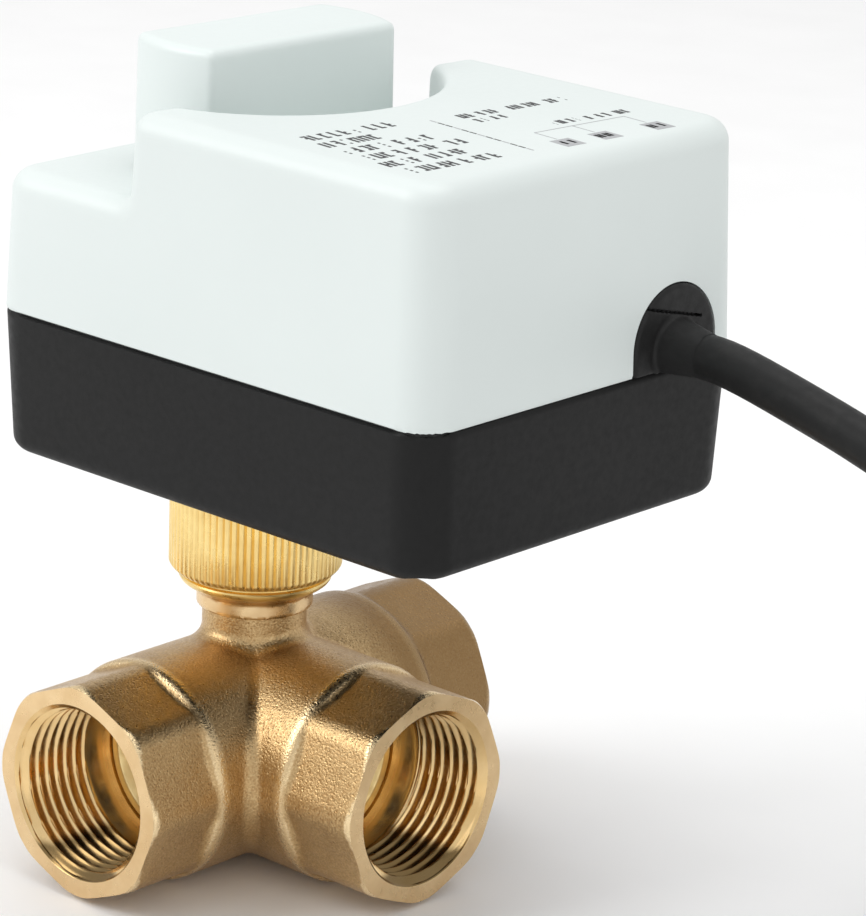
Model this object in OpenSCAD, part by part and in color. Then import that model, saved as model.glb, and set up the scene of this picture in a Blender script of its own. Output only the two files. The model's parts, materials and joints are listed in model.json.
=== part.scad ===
// Motorised three-way ball valve with a geared actuator on top.
// The valve stands on its three ports. X runs along the actuator, Y along the straight run of pipe, Z is up.
// The origin is the middle of the bounding box, at the height of the lowest edges of the ports.

/* [Valve body] */
// Distance from the stem axis to each port face
port_reach = 45; // [42:0.5:50]
// Minor radius of the G1 pipe thread in each port
thread_r = 15.15; // [15.1:0.01:15.2]
// Length of the thread in each port
thread_len = 15.6; // [12:0.1:16]
// Distance across the flats of the octagonal port ends
octagon_flats = 39.2; // [38.4:0.1:40]
// Radius of the round stretch of the body's tubes
tube_r = 21; // [20:0.1:21]
// Length of the octagonal stretch of each port
octagon_len = 16.4; // [12:0.2:20]
// Radius of the neck that carries the stem
neck_r = 9.8; // [9:0.1:11]
// Radius of the threaded spigot on top of the neck
spigot_r = 12.3; // [12:0.1:12.3]
// Height of the underside of the spigot's shoulder above the port axis
spigot_z = 27.8; // [26:0.1:29]
// Height of the top of the spigot above the port axis
neck_top = 44; // [42:0.5:44]

/* [Ball and stem] */
// Radius of the ball
ball_r = 14.9; // [14:0.1:15]
// Radius of the waterway through the ball
waterway_r = 9.6; // [8:0.1:9.8]
// Radius of the stem
stem_r = 5; // [4:0.1:5]
// Width of the square on top of the stem
stem_square = 7; // [5:0.1:7]

/* [Coupling nut] */
// Outer radius of the knurled coupling nut
nut_r = 16.2; // [15:0.1:17]
// Height of the nut's lowest edge above the port axis
nut_z = 31.4; // [31:0.1:32]
// Height of the nut
nut_h = 20.6; // [18:0.1:21]
// Number of straight flutes around the nut
flutes = 72; // [36:2:90]

/* [Actuator housing] */
// Length of the housing
box_l = 107; // [104:0.5:112]
// Width of the housing
box_w = 83.6; // [80:0.5:90]
// Distance from the housing's short end to the stem axis
stem_inset = 27.6; // [26:0.1:30]
// Height of the housing's underside above the port axis
base_z = 59; // [58:0.5:62]
// Height of the seam between base and cover above the port axis
seam_z = 85.6; // [84:0.1:88]
// Height of the low deck around the knob above the port axis
deck_z = 111.5; // [110:0.5:114]
// Height of the raised top above the port axis
top_z = 127.4; // [124:0.1:130]
// Distance from the stem axis to the step between the low deck and the raised top
step_x = 11; // [8:0.5:14]
// Angle between the step and the housing's end
step_slant = 4; // [0:0.5:6]
// Radius of the round recess that the knob turns in
recess_r = 32; // [30:0.5:34]
// Thickness of the housing's walls
wall = 2.2; // [1.8:0.1:2.6]
// Radius of the housing's upright corners
corner_r = 7; // [5:0.5:9]

/* [Knob] */
// Radius of the circle that the knob's ends lie on
knob_r = 24.4; // [22:0.1:28]
// Width of the knob
knob_w = 21.2; // [16:0.1:24]
// Height of the top of the knob above the port axis
knob_top = 135.9; // [132:0.1:140]
// Angle of the knob at rest
knob_angle = 4; // [0:1:8]

/* [Gear train] */
// Teeth on the output gear
output_teeth = 36; // [36]
// Teeth on the idler's small gear
idler_small_teeth = 16; // [16]
// Module of the slow gear pair
slow_module = 1.25; // [1.25]
// Teeth on the idler's large gear
idler_large_teeth = 36; // [36]
// Teeth on the motor pinion
pinion_teeth = 14; // [14]
// Module of the fast gear pair
fast_module = 0.8; // [0.8]
// Angle of the idler around the stem axis
idler_angle = -40; // [-40]
// Angle of the pinion around the idler
pinion_angle = 20; // [20]

/* [Motor] */
// Radius of the synchronous motor
motor_r = 24.5; // [22:0.25:24.75]
// Height of the motor
motor_h = 18; // [15:0.5:20]
// Distance of the motor's centre from the stem axis, along the housing
motor_x = 46; // [46]
// Distance of the motor's centre from the stem axis, across the housing
motor_y = -8; // [-8]

/* [Cable] */
// Diameter of the cable
cable_d = 8.2; // [7:0.1:9]
// Distance of the cable outlet from the middle of the housing's width
outlet_y = 22.3; // [18:0.1:24]
// Height of the cable outlet above the port axis
outlet_z = 89.2; // [88:0.1:91]
// Half the width of the arched cable outlet
arch_r = 11.2; // [10:0.1:12]
// Radius of the cable coil at the middle of its turns
coil_r = 41; // [41:0.5:45]

/* [Hidden] */

$fn = 64;
eps = 0.01;

// Places
octagon_r = octagon_flats / 2 / cos(22.5);
port_z = octagon_r;
gland_end = 86.4;
stem_x = (stem_inset - gland_end) / 2;
box_x0 = -stem_inset;
box_x1 = box_l - stem_inset;

// Valve interior
chamber_r = 15.2;
relief_r = 16.2;
relief_end = 22.5;
mouth_r = 16.75;
chamfer_len = mouth_r - thread_r;
retainer_bore = 11.5;
seat_in = 9.5;
seat_out = 15.4;
seat_bore = 10;
seat_gap = 0.15;
tang_w = 4.6;
tang_z = 11.7;
stem_flange_r = 7;
stem_flange_z = 16.2;
stem_flange_top = 18.2;
washer_top = 18.85;
pocket_top = 18.9;
pocket_r = 7.2;
oring_z = [22.5, 27];
oring_wire = 0.55;
groove_r = 3.9;
fit = 0.1;
square_top = 57;

// Coupling nut
nut_lip_r = 14.6;
nut_lip_h = 1.5;
nut_groove_r = 13.7;
nut_skirt = 2.2;
nut_shoulder_z = 46.5;

// Sleeve and shaft
sleeve_r = 9.4;
sleeve_flange_r = 11.6;
sleeve_head_r = 14;
sleeve_z = 44.3;
shaft_r = 6.1;
shaft_top_r = 5;
shaft_z = 46.4;
shaft_step_z = 100;
shaft_top = 126;

// Housing interior
floor_t = 2.5;
cover_t = 2;
base_spigot_r = 15;
base_spigot_z = 54;
screw_inset = 6.1;
boss_r = 4.5;
pillar_r = 4.6;
pilot_top = 102;

// Gear train levels and centres
gear_hub_r = 10;
axle_r = 2;
axle_fit = 0.05;
slow_z = 65;
slow_h = 7;
fast_z = 73.5;
fast_h = 3.5;
slow_distance = slow_module * (output_teeth + idler_small_teeth) / 2;
fast_distance = fast_module * (idler_large_teeth + pinion_teeth) / 2;
idler_pos = [slow_distance * cos(idler_angle), slow_distance * sin(idler_angle)];
pinion_pos = idler_pos + [fast_distance * cos(pinion_angle), fast_distance * sin(pinion_angle)];
plate_z = 80;
plate_t = 1.5;
plate_top = plate_z + plate_t;
plate_x = [-16, 68];
plate_y = 38;
pillar_pos = [[-10, 34], [-10, -34], [58, 34], [58, -34]];
motor_ear_distance = 29.4;
motor_ear_r = 4.8;
motor_shaft_r = 1.5;
board_z = 103;
board_t = 1.6;
board_x = [20, 66];
board_y = 37;
post_pos = [[24, 34], [24, -34], [58, 34], [58, -34]];

// Switches
cam_r = 12.2;
open_cam_z = 84;
closed_cam_z = 90.6;
cam_h = 4;
switch_size = [20, 10.2, 6.2];
switch_x = -8;
switch_y = 14;
switch_hole_x = [-6, 6];
switch_hole_y = 19;
switch_screw_r = 1.05;
lever_pivot = [-6.5, 12.9];

// Cable outlet and route. Points are in the part's own frame, with Z counted from the surface it stands on.
cable_r = cable_d / 2;
gland_neck_r = 5.1;
notch_r = gland_neck_r + 0.05;
clamp_x = 65;
clamp_screw_y = [outlet_y - 6, outlet_y + 6];
coil_centre = [131.7, 64.6];
coil_low_h = 8.4;
coil_h = 15.6;
coil_half = 8.2;
coil_top_half = 5;
coil_base = 0.95;
coil_top_start = 130;
coil_top_turn = 220;
tie_t = 0.9;
tie_start = 150;
tie_turn = 6;
core_r = 1.1;
core_offsets = [-2.4, 0, 2.4];
core_turn = 66;
ferrule_turn = 13;
route = [[57, 22.3, 110.4], [61, 22.3, 110.2], [66, 22.3, 109.4], [72, 22.3, 108.1], [80, 22.3, 106.2],
    [88, 22.3, 104.2], [95, 22.3, 102.2], [104, 22.3, 99.5], [113, 22.3, 96.6], [122, 22.3, 93.6],
    [129.5, 22.3, 90.9], [139.8, 22.3, 86.3], [148.9, 22.3, 79.7], [156.5, 22.3, 71.3], [162.1, 22.3, 61.5],
    [165.6, 22.3, 50.8], [166.8, 22.3, 39.5], [165.6, 22.2, 30.4], [162.1, 21.8, 22], [156.5, 21.2, 14.7],
    [149.2, 20.5, 9.1], [140.8, 19.8, 5.6], [131.7, 19.5, 4.4]];

// ---- shared shapes ----

// Moves a child from valve coordinates to the part's frame. Valve coordinates have the stem axis at X 0 and
// the port axis at Z 0.
module place() {
    translate([stem_x, 0, port_z]) children();
}

// Upright cylinder from z0 to z1.
module rod(r, z0, z1, fn = 64) {
    translate([0, 0, z0]) cylinder(r = r, h = z1 - z0, $fn = fn);
}

// Flat ring from z0 to z1.
module ring(outer, inner, z0, z1) {
    difference() {
        rod(outer, z0, z1);
        rod(inner, z0 - 1, z1 + 1);
    }
}

// Turns a child that stands on Z towards port 0, 1 or 2: along -Y, +X and +Y.
module to_port(i) {
    rotate([0, 0, -90 + 90 * i]) rotate([0, 90, 0]) children();
}

// Rounded rectangle of the housing's outline, drawn in by a margin.
module outline(margin) {
    r = corner_r - margin;
    x0 = box_x0 + margin;
    x1 = box_x1 - margin;
    y1 = box_w / 2 - margin;
    translate([x0 + r, -y1]) square([x1 - x0 - 2 * r, 2 * y1]);
    translate([x0, -y1 + r]) square([x1 - x0, 2 * y1 - 2 * r]);
    for (x = [x0 + r, x1 - r], y = [-y1 + r, y1 - r]) translate([x, y]) circle(r = r);
}

// Outline of the raised half of the cover, outside the step and the knob's recess.
module raised_outline(margin) {
    difference() {
        outline(margin);
        translate([step_x, 0]) rotate(-step_slant)
            translate([margin - box_l, -box_w]) square([box_l, 2 * box_w]);
        circle(r = recess_r + margin);
    }
}

// Places of the four cover screws.
module at_screws() {
    for (x = [box_x0 + screw_inset, box_x1 - screw_inset], y = [-1, 1])
        translate([x, y * (box_w / 2 - screw_inset), 0]) children();
}

// Solid spur gear with trapezoid teeth, from z0 to z1. The first tooth points along X.
module spur(teeth, m, z0, z1) {
    pitch_r = teeth * m / 2;
    root_r = pitch_r - 1.2 * m;
    tip_r = pitch_r + 0.88 * m;
    pitch_half = 0.39 * m * 1.5708;
    translate([0, 0, z0]) linear_extrude(z1 - z0) {
        circle(r = root_r);
        for (i = [0:teeth - 1]) rotate(i * 360 / teeth)
            polygon([[root_r - 0.3 * m, -1.75 * pitch_half], [root_r, -1.75 * pitch_half],
                [pitch_r, -pitch_half], [tip_r, -0.42 * pitch_half], [tip_r, 0.42 * pitch_half],
                [pitch_r, pitch_half], [root_r, 1.75 * pitch_half], [root_r - 0.3 * m, 1.75 * pitch_half]]);
    }
}

// ---- valve ----

// One leg of the body, along Z: a round tube with a flat-sided end.
module leg() {
    rod(tube_r, 0, port_reach - octagon_len);
    intersection() {
        rod(octagon_r, 0, port_reach);
        cylinder(r = octagon_r, h = port_reach, $fn = 8);
    }
}

// Waterway of one leg: mouth, thread, relief and the way to the chamber.
module leg_bore() {
    rod(chamber_r, 0, relief_end + 1);
    rod(relief_r, relief_end, port_reach - chamfer_len - thread_len);
    rod(thread_r, relief_end + 1, port_reach);
    translate([0, 0, port_reach - chamfer_len])
        cylinder(r1 = thread_r, r2 = mouth_r + eps, h = chamfer_len + eps);
}

module valve_body() {
    color("peru") place() difference() {
        union() {
            for (i = [0:2]) to_port(i) leg();
            sphere(r = tube_r);
            rod(neck_r, 0, spigot_z + eps);
            rod(spigot_r, spigot_z, neck_top);
        }
        for (i = [0:2]) to_port(i) leg_bore();
        rod(pocket_r, 0, pocket_top);
        rod(stem_r + fit, 0, neck_top + 1);
    }
}

module seat_retainers() {
    color("darkgoldenrod") place() for (i = [0:2]) to_port(i) difference() {
        rod(chamber_r - 0.05, seat_out + 0.1, relief_end);
        rod(retainer_bore, 0, port_reach);
        translate([0, 0, relief_end - 1.5])
            cylinder(r1 = retainer_bore, r2 = retainer_bore + 1.5, h = 1.5 + eps);
    }
}

// One seat, mitred where it meets the seats of the neighbouring ports.
module seat() {
    reach = 20;
    intersection() {
        difference() {
            rod(chamber_r - 0.05, seat_in, seat_out);
            rod(seat_bore, 0, port_reach);
            sphere(r = ball_r + 0.02);
        }
        rotate([90, 0, 0]) linear_extrude(2 * reach, center = true)
            polygon([[0, seat_gap], [reach, reach + seat_gap], [-reach, reach + seat_gap]]);
    }
}

module seat_rings() {
    color("white") place() for (i = [0:2]) rotate([0, 0, -90 + 90 * i])
        rotate([0, 90, 0]) rotate([0, 0, 90]) seat();
}

module ball() {
    color("silver") place() difference() {
        sphere(r = ball_r);
        for (i = [0:1]) to_port(i) rod(waterway_r, 0, 2 * ball_r);
        translate([-tang_w / 2 - fit, -ball_r, tang_z - 0.2]) cube([tang_w + 2 * fit, 2 * ball_r, ball_r]);
    }
}

module stem() {
    color("goldenrod") place() difference() {
        union() {
            intersection() {
                translate([-tang_w / 2, -6, tang_z]) cube([tang_w, 12, stem_flange_z - tang_z + eps]);
                rod(stem_flange_r, 0, neck_top);
            }
            rod(stem_flange_r, stem_flange_z, stem_flange_top);
            rod(stem_r, stem_flange_top - eps, neck_top + 1);
            translate([-stem_square / 2, -stem_square / 2, neck_top])
                cube([stem_square, stem_square, square_top - neck_top]);
        }
        for (z = oring_z) ring(stem_r + 1, groove_r, z - 0.8, z + 0.8);
    }
}

module stem_orings() {
    color("black") place() for (z = oring_z) translate([0, 0, z]) rotate_extrude()
        translate([groove_r + oring_wire + 0.02, 0]) circle(r = oring_wire, $fn = 24);
}

module thrust_washer() {
    color("white") place() ring(pocket_r - 0.1, stem_r + fit, stem_flange_top + 0.02, washer_top);
}

// ---- coupling ----

// Knurled nut with a rounded lip below it and straight flutes up its side.
module coupling_nut() {
    flute_r = 0.42;
    color("gold") place() difference() {
        union() {
            rod(nut_lip_r, nut_z, nut_z + nut_lip_h);
            rod(nut_groove_r, nut_z, nut_z + nut_skirt);
            rod(nut_r, nut_z + nut_skirt, nut_z + nut_h);
        }
        rod(spigot_r + fit, nut_z - 1, nut_shoulder_z);
        rod(sleeve_r + 0.2, nut_z, nut_z + nut_h + 1);
        for (i = [0:flutes - 1]) rotate([0, 0, i * 360 / flutes]) translate([nut_r + 0.12, 0, 0])
            rod(flute_r, nut_z + nut_skirt + 1, nut_z + nut_h + 1, 16);
    }
}

module mounting_sleeve() {
    color("silver") place() difference() {
        union() {
            rod(sleeve_flange_r, sleeve_z, sleeve_z + 2);
            rod(sleeve_r, sleeve_z, base_z + floor_t + 0.2);
            rod(sleeve_head_r, base_z + floor_t + 0.05, base_z + floor_t + 2);
        }
        rod(shaft_r + fit, sleeve_z - 1, slow_z);
    }
}

// ---- housing ----

module base_shell() {
    color([0.2, 0.2, 0.21]) place() difference() {
        union() {
            difference() {
                translate([0, 0, base_z]) linear_extrude(seam_z - base_z) outline(0);
                translate([0, 0, base_z + floor_t]) linear_extrude(seam_z) outline(wall);
            }
            at_screws() rod(boss_r, base_z, seam_z - 0.1);
            rod(base_spigot_r, base_spigot_z, base_z + 1);
        }
        at_screws() rod(1.7, base_z - 1, seam_z + 1);
        at_screws() rod(3.3, base_z - 1, base_z + 5);
        rod(sleeve_r + 0.05, base_spigot_z - 1, base_z + floor_t + 1);
        translate([0, 0, seam_z - 0.6]) linear_extrude(1) difference() {
            outline(0.6);
            outline(1.6);
        }
        along_x(notch_r, clamp_x, box_x1 + 1);
    }
}

module cover_gasket() {
    color("dimgray") place() difference() {
        translate([0, 0, seam_z - 0.6]) linear_extrude(0.6) difference() {
            outline(0.62);
            outline(1.58);
        }
        along_x(notch_r, clamp_x, box_x1 + 1);
    }
}

// Arched outline of the cable outlet, in the plane of the housing's end.
module arch(r, foot) {
    translate([outlet_y, 0]) {
        translate([-r, foot]) square([2 * r, seam_z + 4.2 - foot]);
        translate([0, seam_z + 4.2]) circle(r = r);
    }
}

// Stands an outline drawn in Y and Z upright, from x0 to x1.
module upright(x0, x1) {
    translate([x0, 0, 0]) rotate([90, 0, 90]) linear_extrude(x1 - x0) children();
}

module cover_shell() {
    color([0.86, 0.9, 0.89]) place() difference() {
        union() {
            difference() {
                union() {
                    translate([0, 0, seam_z]) linear_extrude(deck_z - seam_z) outline(0);
                    translate([0, 0, deck_z - 1]) linear_extrude(top_z - deck_z + 1) raised_outline(0);
                }
                translate([0, 0, seam_z - 1]) linear_extrude(deck_z - cover_t - seam_z + 1) outline(cover_t);
                translate([0, 0, deck_z - cover_t - 1])
                    linear_extrude(top_z - deck_z + 1) raised_outline(cover_t);
            }
            at_screws() rod(pillar_r, seam_z, deck_z - 1);
        }
        at_screws() rod(1.25, seam_z - 1, pilot_top);
        rod(shaft_top_r + 0.6, deck_z - 4, deck_z + 1);
        upright(box_x1 - cover_t - 1, box_x1 + 1) arch(arch_r, seam_z - 1);
    }
}

module cover_screws() {
    color("silver") place() at_screws() {
        rod(1.2, base_z + 4, pilot_top - 1);
        difference() {
            rod(3, base_z + 1.4, base_z + 4.95);
            translate([-2.4, -0.4, base_z]) cube([4.8, 0.8, 2.6]);
            translate([-0.4, -2.4, base_z]) cube([0.8, 4.8, 2.6]);
        }
    }
}

// ---- drive ----

module output_shaft() {
    color("lightgray") place() difference() {
        union() {
            rod(shaft_r, shaft_z, shaft_step_z);
            rod(shaft_top_r, shaft_step_z - eps, shaft_top);
        }
        half = stem_square / 2 + fit / 2;
        translate([-half, -half, shaft_z - 1]) cube([2 * half, 2 * half, square_top - shaft_z + 1.5]);
    }
}

module shaft_seal() {
    color("black") place() ring(9, shaft_top_r + fit, deck_z - cover_t - 1.2, deck_z - cover_t);
}

module output_gear() {
    color("ivory") place() difference() {
        union() {
            spur(output_teeth, slow_module, slow_z, slow_z + slow_h);
            rod(gear_hub_r, slow_z + 1, plate_z - 1);
        }
        rod(shaft_r, slow_z - 1, plate_z);
    }
}

module idler_gear() {
    phase = idler_angle + 180 - 180 / idler_small_teeth;
    color("ivory") place() translate([idler_pos[0], idler_pos[1], 0]) difference() {
        union() {
            rotate([0, 0, phase]) spur(idler_small_teeth, slow_module, slow_z, fast_z + 1);
            spur(idler_large_teeth, fast_module, fast_z, fast_z + fast_h);
        }
        rod(axle_r + axle_fit, slow_z - 1, fast_z + fast_h + 1);
    }
}

module idler_axle() {
    color("silver") place() translate([idler_pos[0], idler_pos[1], 0])
        rod(axle_r, base_z + floor_t, plate_top);
}

module motor_pinion() {
    phase = pinion_angle + 180 - 180 / pinion_teeth;
    color("goldenrod") place() translate([pinion_pos[0], pinion_pos[1], 0]) {
        rotate([0, 0, phase]) spur(pinion_teeth, fast_module, fast_z - 0.3, fast_z + fast_h + 0.5);
        rod(motor_shaft_r, fast_z, plate_top + 2);
    }
}

module gear_plate() {
    color("silver") place() difference() {
        translate([0, 0, plate_z]) linear_extrude(plate_t) difference() {
            translate([plate_x[0], -plate_y]) square([plate_x[1] - plate_x[0], 2 * plate_y]);
            circle(r = shaft_r + fit);
            translate(idler_pos) circle(r = axle_r);
            translate(pinion_pos) circle(r = 5);
            for (p = pillar_pos) translate(p) circle(r = 1.6);
        }
        at_switch_holes() rod(switch_screw_r + 0.05, plate_z - 1, plate_top + 1);
        at_motor_ears() rod(1.6, plate_z - 1, plate_top + 1);
        for (y = clamp_screw_y) translate([clamp_x, y, 0]) rod(1.2, plate_z - 1, plate_top + 1);
    }
}

module plate_pillars() {
    color("silver") place() for (p = pillar_pos) translate([p[0], p[1], 0])
        rod(3.5, base_z + floor_t, plate_z);
}

// Places of the motor's two fixing ears.
module at_motor_ears() {
    for (s = [-1, 1]) translate([motor_x + s * motor_ear_distance * cos(45),
        motor_y - s * motor_ear_distance * sin(45), 0]) children();
}

module motor() {
    color("lightsteelblue") place() difference() {
        union() {
            translate([motor_x, motor_y, 0]) rod(motor_r, plate_top + 0.05, plate_top + motor_h);
            translate([motor_x, motor_y, plate_top + 0.05]) rotate([0, 0, -45]) linear_extrude(1.2)
                square([2 * motor_ear_distance, 9], center = true);
            at_motor_ears() rod(motor_ear_r, plate_top + 0.05, plate_top + 1.25);
        }
        at_motor_ears() rod(1.6, plate_z, plate_top + 3);
        translate([pinion_pos[0], pinion_pos[1], 0]) rod(motor_shaft_r + fit, plate_z, plate_top + 3);
    }
}

module motor_screws() {
    color("silver") place() at_motor_ears() {
        rod(1.5, plate_z - 1.5, plate_top + 1.3);
        rod(2.8, plate_top + 1.3, plate_top + 3.2);
    }
}

// ---- end-of-travel switching ----

// Disc cam with one flat notch, at an angle.
module cam(z, angle) {
    place() difference() {
        rod(cam_r, z, z + cam_h);
        rod(shaft_r, z - 1, z + cam_h + 1);
        rotate([0, 0, angle]) translate([cam_r - 1.6, -5, z - 1]) cube([4, 10, cam_h + 2]);
    }
}

module open_cam() {
    color("orange") cam(open_cam_z, 90);
}

module closed_cam() {
    color("tomato") cam(closed_cam_z, 0);
}

// Places of the two screws that hold the pair of switches.
module at_switch_holes() {
    for (x = switch_hole_x) translate([x, switch_hole_y, 0]) children();
}

// Body of a snap-action switch that lies flat at height z.
module switch_body(z) {
    place() difference() {
        translate([switch_x, switch_y, z]) cube(switch_size);
        at_switch_holes() rod(switch_screw_r + fit, z - 1, z + switch_size[2] + 1);
    }
}

module open_switch() {
    color("black") switch_body(open_cam_z - 1);
}

module closed_switch() {
    color("black") switch_body(closed_cam_z - 1);
}

// Spring lever in front of a switch, hinged near one end.
module lever(z) {
    place() {
        translate([lever_pivot[0], lever_pivot[1] - 0.25, z + 0.6]) cube([15, 0.5, 2.8]);
        translate([lever_pivot[0], lever_pivot[1], 0]) rod(0.6, z + 0.6, z + 3.4);
    }
}

module open_lever() {
    color("silver") lever(open_cam_z);
}

module closed_lever() {
    color("silver") lever(closed_cam_z);
}

module switch_screws() {
    head_z = closed_cam_z + switch_size[2] - 0.9;
    color("silver") place() at_switch_holes() {
        rod(switch_screw_r, plate_z - 0.5, head_z);
        rod(2, head_z, head_z + 1.5);
        ring(2.2, switch_screw_r + fit, plate_top + 0.05, open_cam_z - 1.05);
    }
}

// ---- electrics ----

module circuit_board() {
    color("seagreen") place() translate([0, 0, board_z]) linear_extrude(board_t) difference() {
        translate([board_x[0], -board_y]) square([board_x[1] - board_x[0], 2 * board_y]);
        for (p = post_pos) translate(p) circle(r = 1.6);
    }
}

module board_posts() {
    color("silver") place() for (p = post_pos) translate([p[0], p[1], 0])
        rod(2.8, plate_top + 0.02, board_z);
}

module board_screws() {
    color("silver") place() for (p = post_pos) translate([p[0], p[1], 0]) {
        rod(1.5, board_z, board_z + board_t + eps);
        rod(2.7, board_z + board_t, board_z + board_t + 1.8);
    }
}

module run_capacitor() {
    color("goldenrod") place() translate([40, -30, board_z + board_t]) cube([24, 11, 15]);
}

module relay() {
    color("royalblue") place() translate([40, 6, board_z + board_t]) cube([15, 19, 15]);
}

module knob() {
    hub_r = 8;
    skin = 2;
    color([0.84, 0.89, 0.87]) place() rotate([0, 0, -knob_angle]) difference() {
        intersection() {
            rod(knob_r, deck_z + 0.8, knob_top, 96);
            translate([-knob_w / 2, -knob_r, deck_z]) cube([knob_w, 2 * knob_r, knob_top]);
        }
        intersection() {
            difference() {
                rod(knob_r - skin, deck_z, knob_top - skin);
                rod(hub_r, deck_z, knob_top);
            }
            translate([-knob_w / 2 + skin, -knob_r, deck_z])
                cube([knob_w - 2 * skin, 2 * knob_r, knob_top]);
        }
        rod(shaft_top_r, deck_z, shaft_top + 0.2);
    }
}

// ---- cable ----

// Round solid along X, centred on the cable outlet.
module along_x(r, x0, x1) {
    translate([x0, outlet_y, outlet_z]) rotate([0, 90, 0]) cylinder(r = r, h = x1 - x0);
}

// Arched rubber plug in the housing's end, with a collar that narrows on to the cable.
module cable_gland() {
    inner_x = 69;
    plate_out = box_x1 + 0.6;
    collar_r = 7.4;
    collar_len = 2.4;
    tip_r = 4.7;
    color([0.12, 0.12, 0.12]) place() difference() {
        union() {
            upright(box_x1 - cover_t - 0.8, plate_out) intersection() {
                arch(arch_r - 0.05, seam_z);
                translate([-box_w, seam_z + 0.02]) square([2 * box_w, 2 * box_w]);
            }
            along_x(gland_neck_r, inner_x, box_x1 + eps);
            along_x(collar_r, box_x1, plate_out + collar_len);
            translate([plate_out + collar_len - eps, outlet_y, outlet_z]) rotate([0, 90, 0])
                cylinder(r1 = collar_r - 1, r2 = tip_r, h = gland_end - plate_out - collar_len + eps);
        }
        along_x(cable_r + 0.05, inner_x - 1, gland_end + 1);
    }
}

module cable_clamp() {
    size = [6, 16.4, 14.4];
    color("dimgray") place() difference() {
        translate([clamp_x - size[0] / 2, outlet_y - size[1] / 2, plate_top + 0.05]) cube(size);
        along_x(cable_r + 0.05, clamp_x - size[0], clamp_x + size[0]);
        for (y = clamp_screw_y) translate([clamp_x, y, 0]) rod(1.3, plate_z, plate_top + 20);
    }
}

module clamp_screws() {
    color("silver") place() for (y = clamp_screw_y) translate([clamp_x, y, 0]) {
        rod(1.15, plate_z - 0.5, plate_top + 14.5);
        rod(2.2, plate_top + 14.5, plate_top + 16.2);
    }
}

// Stretch of the cable that is held inside the housing.
module cable_tail() {
    color([0.1, 0.1, 0.1]) place() along_x(cable_r, clamp_x - 4, gland_end);
}

// Four cores that bend up from the cable's end to the circuit board.
module inner_wires() {
    wire_r = 0.7;
    bend_r = 3;
    color("brown") place() for (y = [-3, -1, 1, 3]) translate([clamp_x - 4.02, outlet_y + y, outlet_z]) {
        rotate([0, -90, 0]) cylinder(r = wire_r, h = 2);
        translate([-2, 0, bend_r]) rotate([90, 180, 0]) rotate_extrude(angle = 90)
            translate([bend_r, 0]) circle(r = wire_r);
        translate([-2 - bend_r, 0, bend_r]) cylinder(r = wire_r, h = board_z - outlet_z - bend_r - 0.02);
    }
}

function unit(v) = v / norm(v);
function tangent(points, i) = unit(points[min(i + 1, len(points) - 1)] - points[max(i - 1, 0)]);
function side_of(t) = unit(cross(t, abs(t[1]) < 0.9 ? [0, 1, 0] : [1, 0, 0]));

// Round tube swept along a list of points.
module swept(points, r, sides = 10) {
    n = len(points);
    verts = [for (i = [0:n - 1], k = [0:sides - 1])
        let (t = tangent(points, i), a = side_of(t), b = cross(t, a), w = k * 360 / sides)
            points[i] + r * (cos(w) * a + sin(w) * b)];
    faces = concat(
        [[for (k = [0:sides - 1]) k]],
        [for (i = [0:n - 2], k = [0:sides - 1])
            [i * sides + k, (i + 1) * sides + k,
            (i + 1) * sides + (k + 1) % sides, i * sides + (k + 1) % sides]],
        [[for (k = [sides - 1:-1:0]) (n - 1) * sides + k]]);
    polyhedron(points = verts, faces = faces, convexity = 6);
}

module cable() {
    color([0.1, 0.1, 0.1]) swept(route, cable_r);
}

// Moves a child to the coil's centre and turns it about that.
module on_coil(angle) {
    translate([coil_centre[0], coil_centre[1], 0]) rotate([0, 0, angle]) children();
}

module coil_low_section() {
    translate([coil_r - coil_half, coil_base]) square([2 * coil_half, coil_low_h - coil_base]);
}

module coil_top_section() {
    translate([coil_r - coil_top_half, coil_low_h - eps]) square([2 * coil_top_half, coil_h - coil_low_h]);
}

// Outer shape of the wound coil: two turns side by side on the surface, and part of a turn on top.
module cable_coil() {
    color([0.1, 0.1, 0.1]) {
        on_coil(0) rotate_extrude() coil_low_section();
        on_coil(coil_top_start) rotate_extrude(angle = coil_top_turn) coil_top_section();
    }
}

// Strap round the bundle of turns.
module coil_tie() {
    color([0.08, 0.08, 0.08]) on_coil(tie_start) rotate_extrude(angle = tie_turn) difference() {
        offset(r = tie_t, $fn = 24) coil_hull();
        coil_hull();
    }
}

module coil_hull() {
    hull() {
        coil_low_section();
        coil_top_section();
    }
}

// Free cores beyond the end of the cable's jacket, lying on the coil.
module core_wires() {
    start = coil_top_start - core_turn - 0.2;
    for (i = [0:2]) color(["brown", "royalblue", "yellowgreen"][i]) on_coil(start)
        rotate_extrude(angle = core_turn)
            translate([coil_r + core_offsets[i], coil_low_h + core_r + 0.05])
                circle(r = core_r, $fn = 32);
}

// Crimped metal ends of the cores.
module wire_ferrules() {
    start = coil_top_start - core_turn - ferrule_turn - 0.3;
    for (i = [0:2]) color("silver") on_coil(start) rotate_extrude(angle = ferrule_turn)
        translate([coil_r + core_offsets[i], coil_low_h + core_r + 0.05]) circle(r = 0.8, $fn = 32);
}

valve_body();
seat_retainers();
seat_rings();
ball();
stem();
stem_orings();
thrust_washer();
coupling_nut();
mounting_sleeve();
base_shell();
cover_shell();
cover_gasket();
cover_screws();
output_shaft();
shaft_seal();
output_gear();
idler_gear();
idler_axle();
motor_pinion();
gear_plate();
plate_pillars();
motor();
motor_screws();
open_cam();
closed_cam();
open_switch();
closed_switch();
open_lever();
closed_lever();
switch_screws();
circuit_board();
board_posts();
board_screws();
run_capacitor();
relay();
knob();
cable_gland();
cable_clamp();
clamp_screws();
cable_tail();
inner_wires();
cable();
cable_coil();
coil_tie();
core_wires();
wire_ferrules();
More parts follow.
